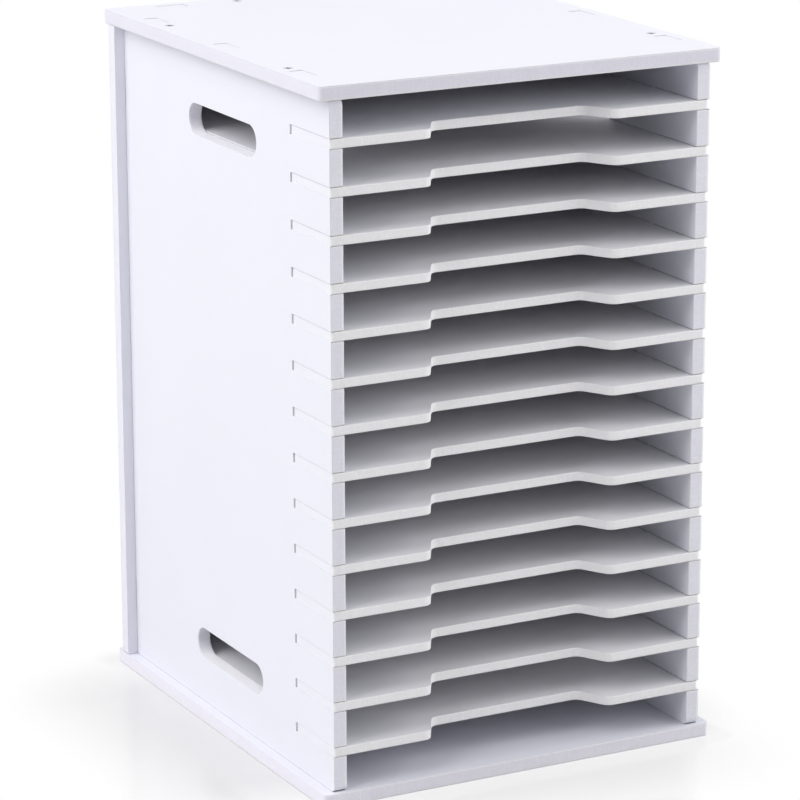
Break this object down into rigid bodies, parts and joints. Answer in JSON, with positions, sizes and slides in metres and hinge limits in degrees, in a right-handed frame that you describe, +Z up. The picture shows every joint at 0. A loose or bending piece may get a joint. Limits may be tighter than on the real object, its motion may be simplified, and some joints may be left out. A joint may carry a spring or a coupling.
{
  "type": "desktop paper and envelope sorter",
  "caption": "Tall white desktop sorter with a stack of slide-out shelves in an open-front case with comb-notched sides, hand holes and overhanging top and base boards.",
  "frame": {"origin": "middle of the base board's underside, on the surface the sorter stands on", "axes": "+X to the user's right, +Y to the back, +Z up; the shelves slide out along -Y"},
  "size_m": [0.285, 0.324, 0.462],
  "materials": {
    "case_board": "white foamed wood-plastic board, fine matt skin, sawn and routed edges slightly greyer",
    "shelf_board": "the same white board in a thinner sheet, fine matt skin",
    "screws": "zinc-plated steel countersunk screws with a cross recess"
  },
  "bodies": {
    "case": {"top_board": "case_board", "base_board": "case_board", "left_side_panel": "case_board", "right_side_panel": "case_board", "back_panel": "case_board", "top_side_screws": "screws", "top_back_screws": "screws", "base_side_screws": "screws", "base_back_screws": "screws"},
    "shelf_01": {"shelf_01": "shelf_board"},
    "shelf_02": {"shelf_02": "shelf_board"},
    "shelf_03": {"shelf_03": "shelf_board"},
    "shelf_04": {"shelf_04": "shelf_board"},
    "shelf_05": {"shelf_05": "shelf_board"},
    "shelf_06": {"shelf_06": "shelf_board"},
    "shelf_07": {"shelf_07": "shelf_board"},
    "shelf_08": {"shelf_08": "shelf_board"},
    "shelf_09": {"shelf_09": "shelf_board"},
    "shelf_10": {"shelf_10": "shelf_board"},
    "shelf_11": {"shelf_11": "shelf_board"},
    "shelf_12": {"shelf_12": "shelf_board"},
    "shelf_13": {"shelf_13": "shelf_board"},
    "shelf_14": {"shelf_14": "shelf_board"}
  },
  "joints": [
    {"name": "shelf_01_slide", "type": "slide", "parent": "case", "child": "shelf_01", "axis": [0, -1, 0], "range_m": [0, 0.32]},
    {"name": "shelf_02_slide", "type": "slide", "parent": "case", "child": "shelf_02", "axis": [0, -1, 0], "range_m": [0, 0.32]},
    {"name": "shelf_03_slide", "type": "slide", "parent": "case", "child": "shelf_03", "axis": [0, -1, 0], "range_m": [0, 0.32]},
    {"name": "shelf_04_slide", "type": "slide", "parent": "case", "child": "shelf_04", "axis": [0, -1, 0], "range_m": [0, 0.32]},
    {"name": "shelf_05_slide", "type": "slide", "parent": "case", "child": "shelf_05", "axis": [0, -1, 0], "range_m": [0, 0.32]},
    {"name": "shelf_06_slide", "type": "slide", "parent": "case", "child": "shelf_06", "axis": [0, -1, 0], "range_m": [0, 0.32]},
    {"name": "shelf_07_slide", "type": "slide", "parent": "case", "child": "shelf_07", "axis": [0, -1, 0], "range_m": [0, 0.32]},
    {"name": "shelf_08_slide", "type": "slide", "parent": "case", "child": "shelf_08", "axis": [0, -1, 0], "range_m": [0, 0.32]},
    {"name": "shelf_09_slide", "type": "slide", "parent": "case", "child": "shelf_09", "axis": [0, -1, 0], "range_m": [0, 0.32]},
    {"name": "shelf_10_slide", "type": "slide", "parent": "case", "child": "shelf_10", "axis": [0, -1, 0], "range_m": [0, 0.32]},
    {"name": "shelf_11_slide", "type": "slide", "parent": "case", "child": "shelf_11", "axis": [0, -1, 0], "range_m": [0, 0.32]},
    {"name": "shelf_12_slide", "type": "slide", "parent": "case", "child": "shelf_12", "axis": [0, -1, 0], "range_m": [0, 0.32]},
    {"name": "shelf_13_slide", "type": "slide", "parent": "case", "child": "shelf_13", "axis": [0, -1, 0], "range_m": [0, 0.32]},
    {"name": "shelf_14_slide", "type": "slide", "parent": "case", "child": "shelf_14", "axis": [0, -1, 0], "range_m": [0, 0.32]}
  ]
}
